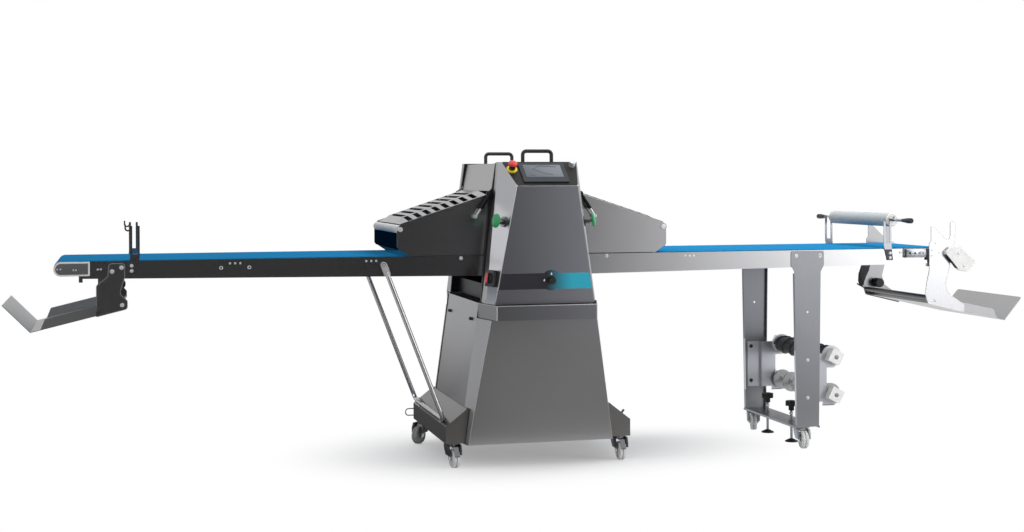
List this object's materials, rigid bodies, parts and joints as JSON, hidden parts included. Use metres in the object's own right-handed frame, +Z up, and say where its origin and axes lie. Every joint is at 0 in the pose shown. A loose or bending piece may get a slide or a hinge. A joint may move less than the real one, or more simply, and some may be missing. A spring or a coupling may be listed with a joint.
{
  "type": "automatic dough sheeter",
  "caption": "Floor-standing dough sheeter: a head with calibrating rollers between two long belt tables, with hinged slotted guards, catch trays, a touch console and casters.",
  "frame": {"origin": "on the floor, at the middle of the bounding box's footprint", "axes": "+Z up, +X along the tables to the right as the operator stands at the console, -Y towards the operator"},
  "size_m": [4.597, 1.03, 1.353],
  "materials": {
    "stainless": "satin",
    "housing_grey": "satin",
    "cabinet_grey": "satin",
    "guard_grey": "satin",
    "dark_plastic": "matt",
    "belt_blue": "matt",
    "white_plastic": "satin",
    "blade_black": "satin",
    "wheel_grey": "matt",
    "zinc": "bright",
    "polished": "polished",
    "green": "gloss",
    "red": "gloss",
    "cast_grey": "matt"
  },
  "bodies": {
    "machine": {"base_frame": "stainless", "side_frame": "stainless", "service_panels": "stainless", "head_cover": "stainless", "table_frames": "stainless", "tray_brackets": "stainless", "catch_trays": "stainless", "leg_stand": "stainless", "pin_forks": "stainless", "strut_fittings": "stainless", "upper_housings": "housing_grey", "lower_housings": "cabinet_grey", "lift_handles": "polished", "console_unit": "dark_plastic", "control_bases": "dark_plastic", "drive_motor": "cast_grey", "belts": "belt_blue", "tray_fittings": "white_plastic", "cutter_blocks": "white_plastic", "nose_blocks": "white_plastic"},
    "lower_roller": {"lower_roller": "polished"},
    "roller_carriage": {"roller_carriage": "stainless"},
    "upper_roller": {"upper_roller": "polished"},
    "motor_pulley": {"motor_pulley": "cast_grey"},
    "left_drive_roller": {"left_drive_roller": "zinc"},
    "left_nose_roller": {"left_nose_roller": "zinc"},
    "left_guard": {"left_guard": "guard_grey", "left_guard_edge": "polished"},
    "left_gas_cylinders": {"left_gas_cylinders": "dark_plastic"},
    "left_gas_rods": {"left_gas_rods": "zinc"},
    "left_palm_button": {"left_palm_button": "green"},
    "right_drive_roller": {"right_drive_roller": "zinc"},
    "right_nose_roller": {"right_nose_roller": "zinc"},
    "right_guard": {"right_guard": "guard_grey", "right_guard_edge": "polished"},
    "right_gas_cylinders": {"right_gas_cylinders": "dark_plastic"},
    "right_gas_rods": {"right_gas_rods": "zinc"},
    "right_palm_button": {"right_palm_button": "green"},
    "stop_button": {"stop_button": "red"},
    "selector_knob": {"selector_knob": "dark_plastic"},
    "main_switch": {"main_switch": "red"},
    "support_strut": {"support_strut": "polished"},
    "pin_rod": {"pin_rod": "polished"},
    "pin_barrel": {"pin_barrel": "white_plastic"},
    "blade_cutter": {"blade_cutter": "blade_black"},
    "disc_cutter": {"disc_cutter": "white_plastic"},
    "front_levelling_foot": {"front_levelling_foot": "zinc"},
    "rear_levelling_foot": {"rear_levelling_foot": "zinc"},
    "front_left_fork": {"front_left_fork": "zinc"},
    "front_left_wheel": {"front_left_wheel": "wheel_grey"},
    "front_right_fork": {"front_right_fork": "zinc"},
    "front_right_wheel": {"front_right_wheel": "wheel_grey"},
    "rear_left_fork": {"rear_left_fork": "zinc"},
    "rear_left_wheel": {"rear_left_wheel": "wheel_grey"},
    "rear_right_fork": {"rear_right_fork": "zinc"},
    "rear_right_wheel": {"rear_right_wheel": "wheel_grey"},
    "leg_front_fork": {"leg_front_fork": "zinc"},
    "leg_front_wheel": {"leg_front_wheel": "wheel_grey"},
    "leg_rear_fork": {"leg_rear_fork": "zinc"},
    "leg_rear_wheel": {"leg_rear_wheel": "wheel_grey"}
  },
  "joints": [
    {"name": "lower_roller_spin", "type": "hinge", "parent": "machine", "child": "lower_roller", "pos_m": [-0.0955, 0, 0.8577], "axis": [0, 1, 0], "continuous": true},
    {"name": "roller_gap", "type": "slide", "parent": "machine", "child": "roller_carriage", "axis": [0, 0, 1], "range_m": [-0.018, 0.027]},
    {"name": "upper_roller_spin", "type": "hinge", "parent": "roller_carriage", "child": "upper_roller", "pos_m": [-0.0955, 0, 0.962], "axis": [0, 1, 0], "continuous": true},
    {"name": "motor_pulley_spin", "type": "hinge", "parent": "machine", "child": "motor_pulley", "pos_m": [-0.0955, 0, 0.48], "axis": [0, 1, 0], "continuous": true},
    {"name": "left_drive_roller_spin", "type": "hinge", "parent": "machine", "child": "left_drive_roller", "pos_m": [-0.1795, 0, 0.872], "axis": [0, 1, 0], "continuous": true},
    {"name": "left_nose_roller_spin", "type": "hinge", "parent": "machine", "child": "left_nose_roller", "pos_m": [-2.0705, 0, 0.872], "axis": [0, 1, 0], "continuous": true},
    {"name": "left_guard_hinge", "type": "hinge", "parent": "machine", "child": "left_guard", "pos_m": [-0.2605, 0, 1.195], "axis": [0, 1, 0], "range_deg": [0, 60]},
    {"name": "left_gas_pivot", "type": "hinge", "parent": "machine", "child": "left_gas_cylinders", "pos_m": [-0.2985, 0, 1.16], "axis": [0, 1, 0], "range_deg": [0, 83.71]},
    {"name": "left_gas_slide", "type": "slide", "parent": "left_gas_cylinders", "child": "left_gas_rods", "axis": [-0.5607, 0, -0.828], "range_m": [0, 0.0259]},
    {"name": "left_palm_press", "type": "slide", "parent": "machine", "child": "left_palm_button", "axis": [0.9376, 0.3219, -0.1311], "range_m": [0, 0.006], "stiffness_N_per_m": 300, "springref_m": -0.004},
    {"name": "right_drive_roller_spin", "type": "hinge", "parent": "machine", "child": "right_drive_roller", "pos_m": [-0.0115, 0, 0.872], "axis": [0, 1, 0], "continuous": true},
    {"name": "right_nose_roller_spin", "type": "hinge", "parent": "machine", "child": "right_nose_roller", "pos_m": [1.8795, 0, 0.872], "axis": [0, 1, 0], "continuous": true},
    {"name": "right_guard_hinge", "type": "hinge", "parent": "machine", "child": "right_guard", "pos_m": [0.0695, 0, 1.195], "axis": [0, -1, 0], "range_deg": [0, 60]},
    {"name": "right_gas_pivot", "type": "hinge", "parent": "machine", "child": "right_gas_cylinders", "pos_m": [0.1075, 0, 1.16], "axis": [0, -1, 0], "range_deg": [0, 83.71]},
    {"name": "right_gas_slide", "type": "slide", "parent": "right_gas_cylinders", "child": "right_gas_rods", "axis": [0.5607, 0, -0.828], "range_m": [0, 0.0259]},
    {"name": "right_palm_press", "type": "slide", "parent": "machine", "child": "right_palm_button", "axis": [-0.9376, 0.3219, -0.1311], "range_m": [0, 0.006], "stiffness_N_per_m": 300, "springref_m": -0.004},
    {"name": "stop_press", "type": "slide", "parent": "machine", "child": "stop_button", "axis": [0, 0.5899, -0.8075], "range_m": [0, 0.005], "stiffness_N_per_m": 400, "springref_m": -0.004},
    {"name": "selector_turn", "type": "hinge", "parent": "machine", "child": "selector_knob", "pos_m": [-0.0715, -0.47792, 0.797], "axis": [0, -0.9957, -0.0928], "range_deg": [0, 90]},
    {"name": "main_switch_turn", "type": "hinge", "parent": "machine", "child": "main_switch", "pos_m": [-0.31322, -0.43, 0.805], "axis": [-0.9376, -0.3219, 0.1311], "range_deg": [0, 90]},
    {"name": "strut_swing", "type": "hinge", "parent": "machine", "child": "support_strut", "pos_m": [-0.7605, 0, 0.866], "axis": [0, 1, 0], "range_deg": [0, 100]},
    {"name": "pin_lift", "type": "slide", "parent": "machine", "child": "pin_rod", "axis": [0, 0, 1], "range_m": [0, 0.06]},
    {"name": "pin_spin", "type": "hinge", "parent": "pin_rod", "child": "pin_barrel", "pos_m": [1.617, 0, 1.0306], "axis": [0, 1, 0], "continuous": true},
    {"name": "blade_cutter_spin", "type": "hinge", "parent": "machine", "child": "blade_cutter", "pos_m": [1.3195, 0, 0.41], "axis": [0, 1, 0], "continuous": true},
    {"name": "disc_cutter_spin", "type": "hinge", "parent": "machine", "child": "disc_cutter", "pos_m": [1.3195, 0, 0.237], "axis": [0, 1, 0], "continuous": true},
    {"name": "front_foot_lift", "type": "slide", "parent": "machine", "child": "front_levelling_foot", "axis": [0, 0, 1], "range_m": [0, 0.045]},
    {"name": "rear_foot_lift", "type": "slide", "parent": "machine", "child": "rear_levelling_foot", "axis": [0, 0, 1], "range_m": [0, 0.045]},
    {"name": "front_left_swivel", "type": "hinge", "parent": "machine", "child": "front_left_fork", "pos_m": [-0.46951, -0.308, 0.104], "axis": [0, 0, 1], "continuous": true},
    {"name": "front_left_roll", "type": "hinge", "parent": "front_left_fork", "child": "front_left_wheel", "pos_m": [-0.46585, -0.34984, 0.04], "axis": [0.9962, 0.0872, 0], "continuous": true},
    {"name": "front_right_swivel", "type": "hinge", "parent": "machine", "child": "front_right_fork", "pos_m": [0.27851, -0.308, 0.104], "axis": [0, 0, 1], "continuous": true},
    {"name": "front_right_roll", "type": "hinge", "parent": "front_right_fork", "child": "front_right_wheel", "pos_m": [0.27704, -0.34997, 0.04], "axis": [0.9994, -0.0349, 0], "continuous": true},
    {"name": "rear_left_swivel", "type": "hinge", "parent": "machine", "child": "rear_left_fork", "pos_m": [-0.46951, 0.308, 0.104], "axis": [0, 0, 1], "continuous": true},
    {"name": "rear_left_roll", "type": "hinge", "parent": "rear_left_fork", "child": "rear_left_wheel", "pos_m": [-0.49921, 0.2783, 0.04], "axis": [0.7071, -0.7071, 0], "continuous": true},
    {"name": "rear_right_swivel", "type": "hinge", "parent": "machine", "child": "rear_right_fork", "pos_m": [0.27851, 0.308, 0.104], "axis": [0, 0, 1], "continuous": true},
    {"name": "rear_right_roll", "type": "hinge", "parent": "rear_right_fork", "child": "rear_right_wheel", "pos_m": [0.29951, 0.27163, 0.04], "axis": [0.866, 0.5, 0], "continuous": true},
    {"name": "leg_front_swivel", "type": "hinge", "parent": "machine", "child": "leg_front_fork", "pos_m": [1.1665, -0.272, 0.094], "axis": [0, 0, 1], "continuous": true},
    {"name": "leg_front_roll", "type": "hinge", "parent": "leg_front_fork", "child": "leg_front_wheel", "pos_m": [1.16065, -0.31359, 0.04], "axis": [0.9903, -0.1392, 0], "continuous": true},
    {"name": "leg_rear_swivel", "type": "hinge", "parent": "machine", "child": "leg_rear_fork", "pos_m": [1.1665, 0.272, 0.094], "axis": [0, 0, 1], "continuous": true},
    {"name": "leg_rear_roll", "type": "hinge", "parent": "leg_rear_fork", "child": "leg_rear_wheel", "pos_m": [1.15213, 0.23253, 0.04], "axis": [0.9397, -0.342, 0], "continuous": true}
  ],
  "couplings": [
    {"joint": "upper_roller_spin", "follows": "lower_roller_spin", "ratio": -1},
    {"joint": "motor_pulley_spin", "follows": "lower_roller_spin", "ratio": 1.5714},
    {"joint": "left_drive_roller_spin", "follows": "lower_roller_spin", "ratio": 1.6667},
    {"joint": "left_nose_roller_spin", "follows": "lower_roller_spin", "ratio": 1.6667},
    {"joint": "left_gas_pivot", "follows": "left_guard_hinge", "ratio": 1.3452},
    {"joint": "left_gas_slide", "follows": "left_guard_hinge", "m_per_rad": 0.02285},
    {"joint": "right_drive_roller_spin", "follows": "lower_roller_spin", "ratio": 1.6667},
    {"joint": "right_nose_roller_spin", "follows": "lower_roller_spin", "ratio": 1.6667},
    {"joint": "right_gas_pivot", "follows": "right_guard_hinge", "ratio": 1.3452},
    {"joint": "right_gas_slide", "follows": "right_guard_hinge", "m_per_rad": 0.02285}
  ]
}
